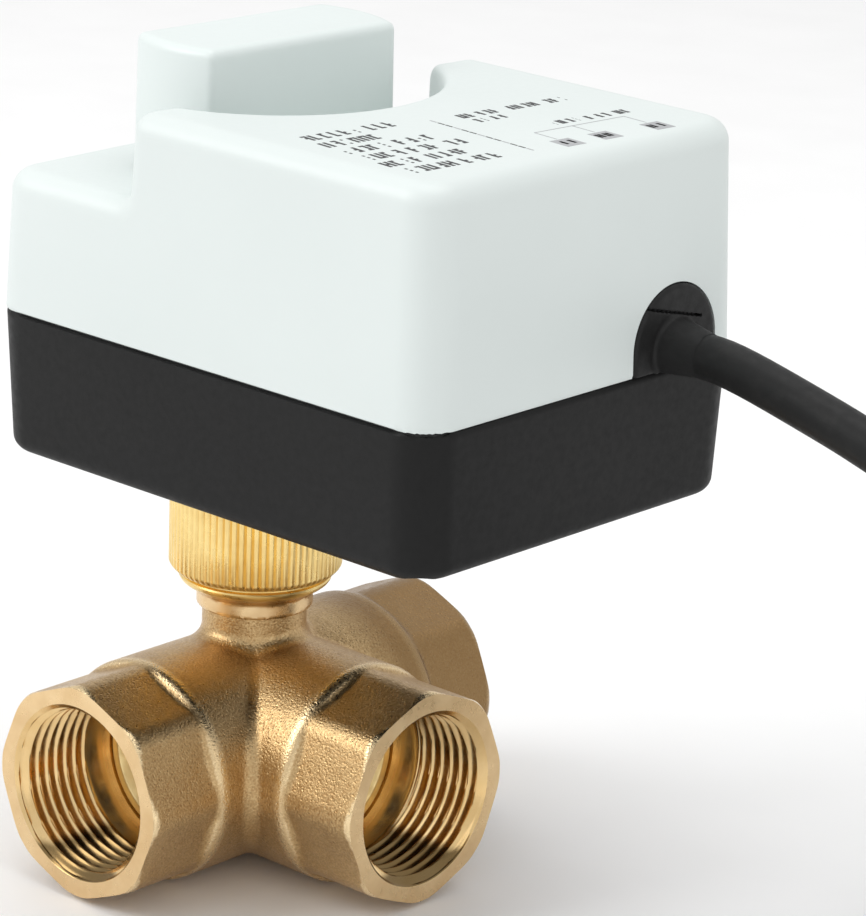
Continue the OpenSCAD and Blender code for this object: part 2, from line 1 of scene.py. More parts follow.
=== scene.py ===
"""Looks of the motorised three-way zone valve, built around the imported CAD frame.

Shapes are made in millimetres in valve coordinates: the stem axis is x = y = 0 and the port axes are at
z = 0. `place` turns them into metres in the part's frame. The cable is the exception: it is made in
millimetres in the part's own frame.
"""

import json
import math
import random

import bmesh
import bpy
import numpy as np
from mathutils import Matrix, Vector


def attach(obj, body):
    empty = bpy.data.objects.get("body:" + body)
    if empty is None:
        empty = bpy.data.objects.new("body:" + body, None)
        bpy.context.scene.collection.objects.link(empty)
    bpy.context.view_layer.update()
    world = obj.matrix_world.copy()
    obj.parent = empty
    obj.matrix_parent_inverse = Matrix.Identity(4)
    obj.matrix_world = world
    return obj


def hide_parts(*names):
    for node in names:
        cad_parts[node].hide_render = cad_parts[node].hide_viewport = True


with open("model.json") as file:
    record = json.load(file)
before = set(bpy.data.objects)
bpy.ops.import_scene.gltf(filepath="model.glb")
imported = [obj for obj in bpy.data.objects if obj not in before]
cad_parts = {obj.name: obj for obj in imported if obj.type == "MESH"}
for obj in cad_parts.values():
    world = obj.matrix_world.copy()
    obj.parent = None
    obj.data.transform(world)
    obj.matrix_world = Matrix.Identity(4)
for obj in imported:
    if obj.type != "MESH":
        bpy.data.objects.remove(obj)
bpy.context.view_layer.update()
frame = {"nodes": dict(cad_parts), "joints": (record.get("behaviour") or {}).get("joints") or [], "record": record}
NODES = frame["nodes"]
RECORD = frame["record"]
scene = bpy.context.scene

MM = 0.001
STEM_X = next(j["pos_m"][0] for j in frame["joints"] if j["name"] == "spindle_turn")
PORT_Z = RECORD["mounts"][0]["pos_m"][2]

# Sizes in millimetres. The ones that make the overall size are the CAD's.
# Valve body: port faces, thread, legs and their flats
PORT_REACH, THREAD_R, TUBE_R, OCT_HALF, FLATS_FROM = 45.0, 15.15, 21.0, 19.5, 28.6
PORTS = ("-y", "+y", "+x")
THREAD_PITCH, THREAD_DEPTH, SEAT_BORE_R, RELIEF_R = 2.309, 1.45, 15.2, 16.2
# Neck, and the turned collar and spigot above it
NECK_R, COLLAR_R, SPIGOT_R, SPIGOT_Z, NECK_TOP = 9.8, 10.9, 12.3, 26.4, 44.0
# Housing
BOX_X0, BOX_X1, BOX_Y, BASE_Z, SEAM_Z = -27.6, 79.4, 41.8, 59.0, 85.6
DECK_Z, TOP_Z, STEP_X, RECESS_R, CORNER_R = 111.5, 127.4, 11.0, 32.0, 7.0
STEP_SLANT = math.radians(5)
BASE_WALL, COVER_WALL, BOSS_R = 2.2, 2.0, 4.5
BASE_COLLAR_R, BASE_COLLAR_Z, BASE_BORE_R, SHAFT_HOLE_R = 15.0, 54.0, 9.45, 5.6
BASE_DRAFT, COVER_DRAFT = 0.0367, 0.0330  # inwards, per unit of height away from the seam
SCREWS = [(x, y) for x in (BOX_X0 + 6.1, BOX_X1 - 6.1) for y in (-35.7, 35.7)]
SCREW_HOLE_R, SCREW_HEAD_R, PILOT_R = 1.7, 3.35, 1.25
# Knob, and how far it stands off square at rest
KNOB_R, KNOB_HALF, KNOB_TOP = 24.4, 10.6, 135.9
KNOB_TURN = math.radians(4)
KNOB_BORE_R, KNOB_BORE_TOP = 5.05, 126.2
# Cable outlet
OUTLET_Y, OUTLET_Z, ARCH_R, ARCH_Z, NOSE_END = 22.3, 89.2, 11.2, SEAM_Z + 4.2, 87.6
CABLE_D = 8.2


# ---------------------------------------------------------------- camera

CAMERA_AT = (0.49436, -0.53394, 0.31787)
CAMERA_TURNS = (41.964, 17.874, 2.064)  # round the part, up and about the line of sight, in degrees
CAMERA_LENS = 166.69


def make_camera():
    az, el, roll = (math.radians(v) for v in CAMERA_TURNS)
    right = Vector((math.cos(az), math.sin(az), 0))
    back = Vector((math.sin(az) * math.cos(el), -math.cos(az) * math.cos(el), math.sin(el)))
    up = back.cross(right)
    x_axis = right * math.cos(roll) + up * math.sin(roll)
    y_axis = up * math.cos(roll) - right * math.sin(roll)
    data = bpy.data.cameras.new("camera")
    data.sensor_width = 36
    data.lens = CAMERA_LENS
    data.clip_start, data.clip_end = 0.01, 20
    cam = bpy.data.objects.new("camera", data)
    scene.collection.objects.link(cam)
    basis = Matrix((x_axis, y_axis, back)).transposed()
    cam.matrix_world = Matrix.Translation(CAMERA_AT) @ basis.to_4x4()
    scene.camera = cam


make_camera()


# ---------------------------------------------------------------- mesh tools

def place(p):
    """Valve millimetres to the part's metres."""
    p = np.asarray(p, float).reshape(-1, 3)
    return p * MM + np.array([STEM_X, 0, PORT_Z])


def mesh_object(name, verts, faces, sharp=40, mats=()):
    """A smooth-shaded object of vertices in valve millimetres."""
    me = bpy.data.meshes.new(name)
    me.from_pydata(place(verts).tolist(), [], [list(map(int, f)) for f in faces])
    me.validate()
    me.update()
    ob = bpy.data.objects.new(name, me)
    scene.collection.objects.link(ob)
    finish_mesh(ob, sharp)
    for m in mats:
        me.materials.append(m)
    return ob


def finish_mesh(ob, sharp=40):
    me = ob.data
    me.shade_smooth()
    me.set_sharp_from_angle(angle=math.radians(sharp))


def soften(ob, width):
    """Rounds the sharp edges of a mesh in place."""
    bm = bmesh.new()
    bm.from_mesh(ob.data)
    bmesh.ops.recalc_face_normals(bm, faces=bm.faces)
    sharp = [e for e in bm.edges if e.is_manifold and e.calc_face_angle() > 0.9]
    bmesh.ops.bevel(
        bm, geom=sharp, offset=width * MM, segments=2, profile=0.5, affect="EDGES", clamp_overlap=True
    )
    bm.to_mesh(ob.data)
    bm.free()
    finish_mesh(ob)


def valve_mm(ob):
    """The vertices of an object, in valve millimetres."""
    co = np.zeros(len(ob.data.vertices) * 3)
    ob.data.vertices.foreach_get("co", co)
    return (co.reshape(-1, 3) - np.array([STEM_X, 0, PORT_Z])) / MM


def boolean(ob, tool):
    """Cuts a second object out of the first, and removes that object."""
    mod = ob.modifiers.new("cut", "BOOLEAN")
    mod.operation = "DIFFERENCE"
    mod.object = tool
    old = ob.data
    for solver in ("MANIFOLD", "EXACT"):
        mod.solver = solver
        me = bpy.data.meshes.new_from_object(ob.evaluated_get(bpy.context.evaluated_depsgraph_get()))
        if len(me.vertices) not in (0, len(old.vertices)):
            break
        bpy.data.meshes.remove(me)
    else:
        raise RuntimeError(f"a cut in {ob.name} changed nothing")
    ob.modifiers.clear()
    ob.data = me
    bpy.data.meshes.remove(old)
    bpy.data.objects.remove(tool)


def lathe(profile, sides, wave=None):
    """Turns a closed profile of (radius, z, wave weight) about the vertical axis."""
    verts, faces, n = [], [], len(profile)
    for i in range(sides):
        w = 2 * math.pi * i / sides
        dip = wave(w) if wave else 0
        for r, z, k in profile:
            reach = r - k * dip
            verts.append((reach * math.cos(w), reach * math.sin(w), z))
    for i in range(sides):
        j = (i + 1) % sides
        for a in range(n):
            b = (a + 1) % n
            faces.append((i * n + a, j * n + a, j * n + b, i * n + b))
    return np.array(verts), faces


def turned(v, axis):
    """Points that stand along Z, turned so that they stand along the named axis."""
    x, y, z = v[:, 0], v[:, 1], v[:, 2]
    return {
        "-y": np.stack([x, -z, y], 1),
        "+y": np.stack([-x, z, y], 1),
        "+x": np.stack([z, x, y], 1),
    }[axis]


def cylinder(r, z0, z1, sides=96, centre=(0, 0)):
    """A closed cylinder's vertices and faces."""
    verts, faces = [], []
    for z in (z0, z1):
        for i in range(sides):
            w = 2 * math.pi * i / sides
            verts.append((centre[0] + r * math.cos(w), centre[1] + r * math.sin(w), z))
    for i in range(sides):
        j = (i + 1) % sides
        faces.append((i, j, sides + j, sides + i))
    faces.append(tuple(range(sides))[::-1])
    faces.append(tuple(range(sides, 2 * sides)))
    return np.array(verts), faces


def box_mesh(lo, hi):
    v = [(x, y, z) for x in (lo[0], hi[0]) for y in (lo[1], hi[1]) for z in (lo[2], hi[2])]
    f = [(0, 1, 3, 2), (4, 6, 7, 5), (0, 4, 5, 1), (2, 3, 7, 6), (0, 2, 6, 4), (1, 5, 7, 3)]
    return np.array(v, float), f


def merged(parts):
    """One mesh out of several (vertices, faces)."""
    verts, faces, at = [], [], 0
    for v, f in parts:
        verts.append(v)
        faces += [tuple(i + at for i in face) for face in f]
        at += len(v)
    return np.concatenate(verts), faces


# ---------------------------------------------------------------- distance fields

def meet(a, b, r):
    """Intersection with a rounded edge."""
    u, v = np.maximum(a + r, 0), np.maximum(b + r, 0)
    return np.minimum(np.maximum(a, b), -r) + np.sqrt(u * u + v * v)


def join(a, b, r):
    """Union with a fillet."""
    u, v = np.maximum(r - a, 0), np.maximum(r - b, 0)
    return np.maximum(np.minimum(a, b), r) - np.sqrt(u * u + v * v)


def rounded_rect(x, y, x0, x1, y1, r):
    cx, hx = (x0 + x1) / 2, (x1 - x0) / 2
    qx, qy = np.abs(x - cx) - hx + r, np.abs(y) - y1 + r
    out = np.sqrt(np.maximum(qx, 0) ** 2 + np.maximum(qy, 0) ** 2)
    return out + np.minimum(np.maximum(qx, qy), 0) - r


def surface(field, lo, hi, h, relax=3):
    """The zero surface of a distance field as a quad mesh, drawn on to the field and evened out."""
    axes = [np.arange(int(math.ceil((b - a) / h)) + 1) * h + a for a, b in zip(lo, hi)]
    X, Y, Z = np.meshgrid(*axes, indexing="ij")
    d = field(X, Y, Z)
    inside = d < 0
    shape = np.array(d.shape)
    cells = shape - 1
    total = int(cells.prod())
    acc, cnt = np.zeros((total, 3)), np.zeros(total)
    base = np.array(lo, float)
    quads = []
    for ax in range(3):
        a0, a1 = [slice(None)] * 3, [slice(None)] * 3
        a0[ax], a1[ax] = slice(0, -1), slice(1, None)
        da, db = d[tuple(a0)], d[tuple(a1)]
        hit = np.argwhere(inside[tuple(a0)] != inside[tuple(a1)])
        va, vb = da[tuple(hit.T)], db[tuple(hit.T)]
        t = va / (va - vb)
        pos = hit.astype(float)
        pos[:, ax] += t
        pos = base + pos * h
        u, w = (ax + 1) % 3, (ax + 2) % 3
        ring, ok = [], np.ones(len(hit), bool)
        for du, dw in ((-1, -1), (0, -1), (0, 0), (-1, 0)):
            c = hit.copy()
            c[:, u] += du
            c[:, w] += dw
            good = np.all((c >= 0) & (c < cells), axis=1)
            ok &= good
            idx = np.where(good, (c[:, 0] * cells[1] + c[:, 1]) * cells[2] + c[:, 2], 0)
            np.add.at(acc, idx[good], pos[good])
            np.add.at(cnt, idx[good], 1)
            ring.append(idx)
        ring = np.stack(ring, 1)
        flip = va > 0
        ring[flip] = ring[flip][:, ::-1]
        quads.append(ring[ok])
    quads = np.concatenate(quads)
    used = np.flatnonzero(cnt > 0)
    number = np.full(total, -1)
    number[used] = np.arange(len(used))
    P = acc[used] / cnt[used][:, None]
    Q = number[quads]

    def gradient(p, e=0.03):
        g = np.empty_like(p)
        for k in range(3):
            s = np.zeros(3)
            s[k] = e
            g[:, k] = (field(*(p + s).T) - field(*(p - s).T)) / (2 * e)
        return g

    def settle(p, steps):
        for _ in range(steps):
            g = gradient(p)
            step = (field(*p.T) / np.maximum((g * g).sum(1), 0.2))[:, None] * g
            size = np.linalg.norm(step, axis=1, keepdims=True)
            p = p - step * np.minimum(1, 0.4 * h / np.maximum(size, 1e-9))
        return p

    P = settle(P, 3)
    for _ in range(relax):
        tot, n = np.zeros_like(P), np.zeros(len(P))
        for a, b in ((0, 1), (1, 2), (2, 3), (3, 0)):
            np.add.at(tot, Q[:, a], P[Q[:, b]])
            np.add.at(tot, Q[:, b], P[Q[:, a]])
            np.add.at(n, Q[:, a], 1)
            np.add.at(n, Q[:, b], 1)
        mean = tot / np.maximum(n, 1)[:, None]
        P = settle(P + 0.5 * (mean - P), 2)
    return P, Q


# ---------------------------------------------------------------- materials

class Graph:
    """A short way to write a procedural material."""

    def __init__(self, name, color, rough, metallic=0.0, **sockets):
        self.m = bpy.data.materials.new(name)
        self.m.use_nodes = True
        self.t = self.m.node_tree
        self.b = self.t.nodes["Principled BSDF"]
        self.b.inputs["Base Color"].default_value = (*color, 1)
        self.b.inputs["Roughness"].default_value = rough
        self.b.inputs["Metallic"].default_value = metallic
        for k, v in sockets.items():
            self.b.inputs[k.replace("_", " ")].default_value = v
        self.coord = self.t.nodes.new("ShaderNodeTexCoord").outputs["Object"]
        self.normal = None

    def put(self, socket, value):
        if hasattr(value, "is_linked"):
            self.t.links.new(value, socket)
        else:
            socket.default_value = value

    def node(self, kind, **props):
        n = self.t.nodes.new(kind)
        for k, v in props.items():
            setattr(n, k, v)
        return n

    def stretched(self, scale):
        n = self.node("ShaderNodeMapping")
        self.t.links.new(self.coord, n.inputs["Vector"])
        n.inputs["Scale"].default_value = scale
        return n.outputs["Vector"]

    def noise(self, scale, detail, rough=0.5, vector=None):
        n = self.node("ShaderNodeTexNoise")
        self.t.links.new(vector or self.coord, n.inputs["Vector"])
        n.inputs["Scale"].default_value = scale
        n.inputs["Detail"].default_value = detail
        n.inputs["Roughness"].default_value = rough
        return n.outputs["Fac"]

    def cells(self, scale):
        n = self.node("ShaderNodeTexVoronoi", feature="F1")
        self.t.links.new(self.coord, n.inputs["Vector"])
        n.inputs["Scale"].default_value = scale
        return n.outputs["Distance"]

    def attribute(self, name):
        n = self.node("ShaderNodeAttribute", attribute_name=name)
        return n.outputs["Fac"]

    def span(self, value, a, b, c, d):
        """Maps a..b on to c..d, clamped."""
        n = self.node("ShaderNodeMapRange")
        self.put(n.inputs["Value"], value)
        for k, v in zip(("From Min", "From Max", "To Min", "To Max"), (a, b, c, d)):
            n.inputs[k].default_value = v
        return n.outputs["Result"]

    def math(self, op, a, b):
        n = self.node("ShaderNodeMath", operation=op)
        self.put(n.inputs[0], a)
        self.put(n.inputs[1], b)
        return n.outputs[0]

    def mix(self, fac, a, b):
        n = self.node("ShaderNodeMix", data_type="RGBA", blend_type="MIX")
        self.put(n.inputs[0], fac)
        self.put(n.inputs[6], a if hasattr(a, "is_linked") else (*a, 1))
        self.put(n.inputs[7], b if hasattr(b, "is_linked") else (*b, 1))
        return n.outputs[2]

    def bump(self, height, strength, distance):
        n = self.node("ShaderNodeBump")
        n.inputs["Strength"].default_value = strength
        n.inputs["Distance"].default_value = distance
        self.t.links.new(height, n.inputs["Height"])
        if self.normal is not None:
            self.t.links.new(self.normal, n.inputs["Normal"])
        self.normal = n.outputs["Normal"]
        return self

    def done(self, color, rough=None):
        self.t.links.new(color, self.b.inputs["Base Color"])
        if rough is not None:
            self.t.links.new(rough, self.b.inputs["Roughness"])
        if self.normal is not None:
            self.t.links.new(self.normal, self.b.inputs["Normal"])
        return self.m


def cast_brass():
    g = Graph("cast_brass", (0.5, 0.34, 0.16), 0.4, 1.0)
    grain = g.noise(2600, 3, 0.6)
    pits = g.cells(1500)
    pitted = g.span(pits, 0.0, 0.45, 0.0, 1.0)
    patch = g.span(g.noise(90, 4, 0.6), 0.35, 0.7, 0.0, 1.0)
    wear_and_highlight = g.attribute("edge")
    tone = g.mix(patch, (0.45, 0.28, 0.125), (0.56, 0.375, 0.18))
    tone = g.mix(g.span(grain, 0.4, 0.66, 0.0, 0.75), tone, (0.74, 0.54, 0.28))
    tone = g.mix(g.span(pits, 0.0, 0.25, 0.6, 0.0), tone, (0.20, 0.12, 0.045))
    # brightens polished edges, and lays the painted highlight band round each leg
    tone = g.mix(g.math("MULTIPLY", wear_and_highlight, 0.95), tone, (0.95, 0.74, 0.44))
    rough = g.span(g.noise(900, 3, 0.6), 0.3, 0.7, 0.27, 0.42)
    rough = g.math("SUBTRACT", rough, g.math("MULTIPLY", wear_and_highlight, 0.12))
    g.bump(g.noise(160, 3, 0.5), 0.3, 0.0006)
    g.bump(pitted, 0.4, 0.00014)
    g.bump(grain, 0.75, 0.00013)
    # painted shade: darkens the back leg of the casting by the painted-shade point attribute
    tone = g.mix(g.math("MULTIPLY", g.attribute("painted_shade"), 0.8), tone, (0.25, 0.145, 0.058))
    return g.done(tone, rough)


def turned_brass(name, color, light, rough, ring_scale=(1, 1, 1), painted_shade_color=None):
    """Machined brass with faint tool marks and handling; given a shade colour, also painted shade where the
    casting marks it.
    """
    g = Graph(name, color, rough, 1.0)
    lines = g.noise(900, 2, 0.5, g.stretched(ring_scale))
    smear = g.noise(120, 3, 0.55)
    tone = g.mix(g.span(smear, 0.35, 0.7, 0.0, 1.0), color, light)
    # painted shade: this colour is laid where the casting's painted-shade attribute is set
    if painted_shade_color:
        tone = g.mix(g.math("MULTIPLY", g.attribute("painted_shade"), 0.85), tone, painted_shade_color)
    g.bump(lines, 0.12, 0.00006)
    return g.done(tone, g.span(g.noise(350, 3, 0.6), 0.3, 0.7, rough * 0.75, rough * 1.35))


def moulded(name, dark, light, rough, grain=0.12, scale=3200, **sockets):
    """Satin injection moulding with a spark-eroded texture and slight unevenness."""
    g = Graph(name, light, rough, 0.0, **sockets)
    uneven = g.span(g.noise(14, 3, 0.5), 0.3, 0.7, 0.0, 1.0)
    tone = g.mix(uneven, dark, light)
    g.bump(g.noise(22, 2, 0.5), 0.05, 0.0012)
    g.bump(g.noise(scale, 2, 0.6), grain, 0.00005)
    return g.done(tone, g.span(g.noise(700, 3, 0.6), 0.3, 0.7, rough * 0.88, rough * 1.14))


def metal(name, color, rough, scale=(1, 1, 1), strength=0.1):
    g = Graph(name, color, rough, 1.0)
    marks = g.noise(1400, 3, 0.6, g.stretched(scale))
    light = tuple(min(1, c * 1.12) for c in color)
    dark = tuple(c * 0.85 for c in color)
    tone = g.mix(g.span(g.noise(260, 3, 0.6), 0.35, 0.65, 0.0, 1.0), dark, light)
    g.bump(marks, strength, 0.00006)
    return g.done(tone, g.span(marks, 0.3, 0.7, rough * 0.8, rough * 1.3))


def rubber(name, color, rough, scale=1800):
    g = Graph(name, color, rough, 0.0, Specular_IOR_Level=0.28)
    dust = g.span(g.noise(160, 4, 0.65), 0.55, 0.8, 0.0, 0.5)
    tone = g.mix(dust, color, tuple(min(1, c * 2.2 + 0.008) for c in color))
    g.bump(g.noise(scale, 3, 0.6), 0.25, 0.00008)
    return g.done(tone, g.span(g.noise(500, 3, 0.6), 0.3, 0.7, rough * 0.85, rough * 1.2))


def jacket():
    """Extruded cable jacket: fine draw lines run along it and it has a soft sheen."""
    g = Graph("cable_jacket", (0.012, 0.012, 0.012), 0.5, 0.0, Specular_IOR_Level=0.28)
    u = g.attribute("around")
    lines = g.node("ShaderNodeTexNoise", noise_dimensions="1D")
    g.t.links.new(u, lines.inputs["W"])
    lines.inputs["Scale"].default_value = 40
    lines.inputs["Detail"].default_value = 3
    dust = g.span(g.noise(220, 4, 0.6), 0.5, 0.8, 0.0, 0.6)
    tone = g.mix(dust, (0.010, 0.010, 0.010), (0.024, 0.023, 0.022))
    g.bump(g.noise(70, 2, 0.5), 0.25, 0.0004)
    g.bump(lines.outputs["Fac"], 0.15, 0.0001)
    g.bump(g.noise(2200, 2, 0.5), 0.15, 0.00005)
    return g.done(tone, g.span(g.noise(600, 3, 0.6), 0.3, 0.7, 0.44, 0.58))


M = {
    "cast": cast_brass(),
    "face": turned_brass("machined_brass", (0.72, 0.50, 0.26), (0.84, 0.62, 0.35), 0.30),
    # the thread's last colour is painted shade for the bottom of the bores
    "thread": turned_brass(
        "thread_brass", (0.80, 0.55, 0.25), (0.90, 0.66, 0.34), 0.20, painted_shade_color=(0.11, 0.066, 0.022)
    ),
    "ring": turned_brass("retainer_brass", (0.90, 0.64, 0.27), (0.97, 0.76, 0.38), 0.38),
    "nut": turned_brass("nut_brass", (0.88, 0.63, 0.24), (0.97, 0.75, 0.33), 0.30, (1, 1, 0.05)),
    "base": moulded(
        "base_plastic", (0.007, 0.007, 0.007), (0.010, 0.010, 0.010), 0.5, 0.2, Specular_IOR_Level=0.2
    ),
    "cover": moulded("cover_plastic", (0.68, 0.735, 0.72), (0.72, 0.775, 0.76), 0.42),
    "knob": moulded("knob_plastic", (0.69, 0.75, 0.735), (0.73, 0.79, 0.775), 0.36),
    "gland": rubber("gland_rubber", (0.009, 0.009, 0.009), 0.55),
    "jacket": jacket(),
    "strap": moulded("strap_nylon", (0.016, 0.016, 0.017), (0.024, 0.024, 0.025), 0.34, 0.1),
    "ink": moulded("print_ink", (0.02, 0.02, 0.022), (0.035, 0.035, 0.038), 0.5, 0.05),
    "pale_ink": moulded("faded_ink", (0.34, 0.35, 0.36), (0.42, 0.43, 0.44), 0.5, 0.05),
    "chrome": metal("ball_chrome", (0.62, 0.62, 0.63), 0.12, strength=0.03),
    "steel": metal("zinc_plated_steel", (0.56, 0.56, 0.57), 0.32),
    "shaft": metal("turned_steel", (0.50, 0.50, 0.51), 0.25, (1, 1, 20)),
    "strip": metal("spring_strip", (0.60, 0.59, 0.57), 0.22, (12, 1, 1)),
    "can": metal("motor_can", (0.58, 0.59, 0.60), 0.3, (1, 1, 12)),
    "diecast": metal("die_cast_zinc", (0.45, 0.46, 0.47), 0.42, strength=0.25),
    "tinned": metal("tinned_metal", (0.62, 0.62, 0.60), 0.3),
    "ptfe": moulded("ptfe", (0.80, 0.80, 0.77), (0.88, 0.88, 0.86), 0.4, 0.08, 1600),
    "oring": rubber("o_ring_rubber", (0.012, 0.012, 0.012), 0.4),
    "gear": moulded("gear_nylon", (0.72, 0.69, 0.58), (0.80, 0.77, 0.67), 0.38, 0.08),
    "cam": moulded("cam_plastic", (0.55, 0.12, 0.02), (0.64, 0.16, 0.03), 0.36, 0.1),
    "switch": moulded("switch_plastic", (0.018, 0.018, 0.02), (0.03, 0.03, 0.032), 0.4, 0.15),
    "board": moulded("circuit_board", (0.012, 0.10, 0.04), (0.02, 0.15, 0.06), 0.28, 0.1, 900),
    "capacitor": moulded("capacitor_plastic", (0.52, 0.33, 0.03), (0.60, 0.40, 0.05), 0.3, 0.08),
    "relay": moulded("relay_plastic", (0.02, 0.06, 0.28), (0.03, 0.08, 0.34), 0.3, 0.08),
    "brown": moulded("core_brown", (0.10, 0.04, 0.018), (0.14, 0.06, 0.025), 0.32, 0.08),
    "blue": moulded("core_blue", (0.02, 0.10, 0.42), (0.03, 0.14, 0.50), 0.32, 0.08),
    "earth": moulded("core_green", (0.10, 0.38, 0.05), (0.14, 0.46, 0.07), 0.32, 0.08),
}


# ---------------------------------------------------------------- cable

ROUTE = [
    (57, 22.3, 110.4), (61, 22.3, 110.2), (66, 22.3, 109.4), (72, 22.3, 108.1), (80, 22.3, 106.2),
    (88, 22.3, 104.2), (95, 22.3, 102.2), (104, 22.3, 99.5), (113, 22.3, 96.6), (122, 22.3, 93.6),
    (129.5, 22.3, 90.9), (139.8, 22.3, 86.3), (148.9, 22.3, 79.7), (156.5, 22.3, 71.3), (162.1, 22.3, 61.5),
    (165.6, 22.3, 50.8), (166.8, 22.3, 39.5), (165.6, 22.2, 30.4), (162.1, 21.8, 22), (156.5, 21.2, 14.7),
    (149.2, 20.5, 9.1), (140.8, 19.8, 5.6), (131.7, 19.5, 4.4),
]
COIL = (131.7, 64.6)
TIE_AT = 153  # degrees round the coil
INWARD, UPWARD = (290, 350), (582, 640)  # degrees of winding over which it moves inwards, then on top


def smooth_curve(points, step):
    """Centripetal curve through the points, sampled about every step millimetres."""
    p = np.array(points, float)
    p = np.vstack([2 * p[0] - p[1], p, 2 * p[-1] - p[-2]])
    out = []
    for i in range(1, len(p) - 2):
        a, b, c, d = p[i - 1], p[i], p[i + 1], p[i + 2]
        t = np.cumsum([0] + [np.linalg.norm(v) ** 0.5 for v in (b - a, c - b, d - c)])
        n = max(2, int(np.linalg.norm(c - b) / step))
        for s in np.linspace(t[1], t[2], n, endpoint=False):
            a1 = (t[1] - s) / (t[1] - t[0]) * a + (s - t[0]) / (t[1] - t[0]) * b
            a2 = (t[2] - s) / (t[2] - t[1]) * b + (s - t[1]) / (t[2] - t[1]) * c
            a3 = (t[3] - s) / (t[3] - t[2]) * c + (s - t[2]) / (t[3] - t[2]) * d
            b1 = (t[2] - s) / (t[2] - t[0]) * a1 + (s - t[0]) / (t[2] - t[0]) * a2
            b2 = (t[3] - s) / (t[3] - t[1]) * a2 + (s - t[1]) / (t[3] - t[1]) * a3
            out.append((t[2] - s) / (t[2] - t[1]) * b1 + (s - t[1]) / (t[2] - t[1]) * b2)
    out.append(p[-2])
    return np.array(out)


def ease(x):
    x = min(1.0, max(0.0, x))
    return x * x * (3 - 2 * x)


def coil_point(degrees):
    """The coil's centreline in part millimetres, after turning that many degrees clockwise from where the
    lead reaches it, before it is laid on the turns below."""
    middle, low, across, climb, high = 41.0, 4.4, 4.1, 8.25, 11.55
    if degrees < INWARD[1]:
        moved = ease((degrees - INWARD[0]) / (INWARD[1] - INWARD[0]))
        r, z = middle + across - 2 * across * moved, low
    elif degrees < UPWARD[1]:
        w = math.radians(180 - 60 * ease((degrees - UPWARD[0]) / (UPWARD[1] - UPWARD[0])))
        r, z = middle + across + climb * math.cos(w), low + climb * math.sin(w)
    else:
        r, z = middle, high
    from_tie = (270 - degrees - TIE_AT + 180) % 360 - 180
    z += 0.75 * math.exp(-(from_tie / 24) ** 2)
    a = math.radians(270 - degrees)
    return np.array([COIL[0] + r * math.cos(a), COIL[1] + r * math.sin(a), z])


def cable_path():
    lead = smooth_curve(ROUTE, 2.4)
    angles = np.linspace(3.2, 860, 269)
    path = np.vstack([lead, [coil_point(d) for d in angles]])
    top = len(lead) + int(np.searchsorted(angles, UPWARD[1]))
    apart = 8.3  # kept between the centrelines of turns that cross
    lift = np.zeros(len(path))
    for i in range(top, len(path)):
        below = path[: i - 12]
        d = np.linalg.norm(below[:, :2] - path[i, :2], axis=1)
        near = (d < apart) & (below[:, 2] < path[i, 2] + 1)
        if near.any():
            lift[i] = max(0, (below[near, 2] + np.sqrt(apart ** 2 - d[near] ** 2)).max() - path[i, 2])
    for _ in range(4):
        lift = np.maximum(lift, np.convolve(np.pad(lift, 2, mode="edge"), np.ones(5) / 5, "valid"))
    path[:, 2] += lift
    return path


def turns_right(a, b, c):
    """Whether a walk from a over b to c goes straight on or to the right."""
    return np.cross(np.subtract(b, a), np.subtract(c, b)) <= 0


def hull(points):
    """Convex outline of points in a plane, anticlockwise."""
    points = sorted(set(points))
    sides = []
    for row in (points, points[::-1]):
        side = []
        for p in row:
            while len(side) > 1 and turns_right(side[-2], side[-1], p):
                side.pop()
            side.append(p)
        sides += side[:-1]
    return np.array(sides)


def tube(name, path, radius, sides, mat, cap=0.35):
    """A round tube along a path in part millimetres, with ends that draw in by `cap`."""
    n = len(path)
    tang = np.gradient(path, axis=0)
    tang /= np.linalg.norm(tang, axis=1, keepdims=True)
    side = np.cross(tang[0], (0, 1, 0.001))
    verts, faces, around = [], [], []
    rings = []
    for i in range(n):
        side = side - tang[i] * np.dot(side, tang[i])
        side /= np.linalg.norm(side)
        up = np.cross(tang[i], side)
        rings.append((path[i], side, up, radius))
    rings = [rings[0][:3] + (radius - cap,)] + rings + [rings[-1][:3] + (radius - cap,)]
    for p, s, u, r in rings:
        for k in range(sides):
            w = 2 * math.pi * k / sides
            verts.append(p + r * (math.cos(w) * s + math.sin(w) * u))
            around.append(k / sides)
    m = len(rings)
    for i in range(m - 1):
        for k in range(sides):
            a, b = i * sides + k, i * sides + (k + 1) % sides
            faces.append((a, b, b + sides, a + sides))
    faces.append(tuple(range(sides))[::-1])
    faces.append(tuple((m - 1) * sides + k for k in range(sides)))
    me = bpy.data.meshes.new(name)
    me.from_pydata((np.array(verts) * MM).tolist(), [], faces)
    me.update()
    me.attributes.new("around", "FLOAT", "POINT").data.foreach_set("value", np.array(around))
    ob = bpy.data.objects.new(name, me)
    scene.collection.objects.link(ob)
    finish_mesh(ob, 50)
    me.materials.append(mat)
    return ob


def make_cable():
    path = cable_path()
    flex = tube("lead_cable", path, CABLE_D / 2, 28, M["jacket"])
    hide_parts("cable", "cable_coil")
    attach(flex, "housing")
    make_tie(path)


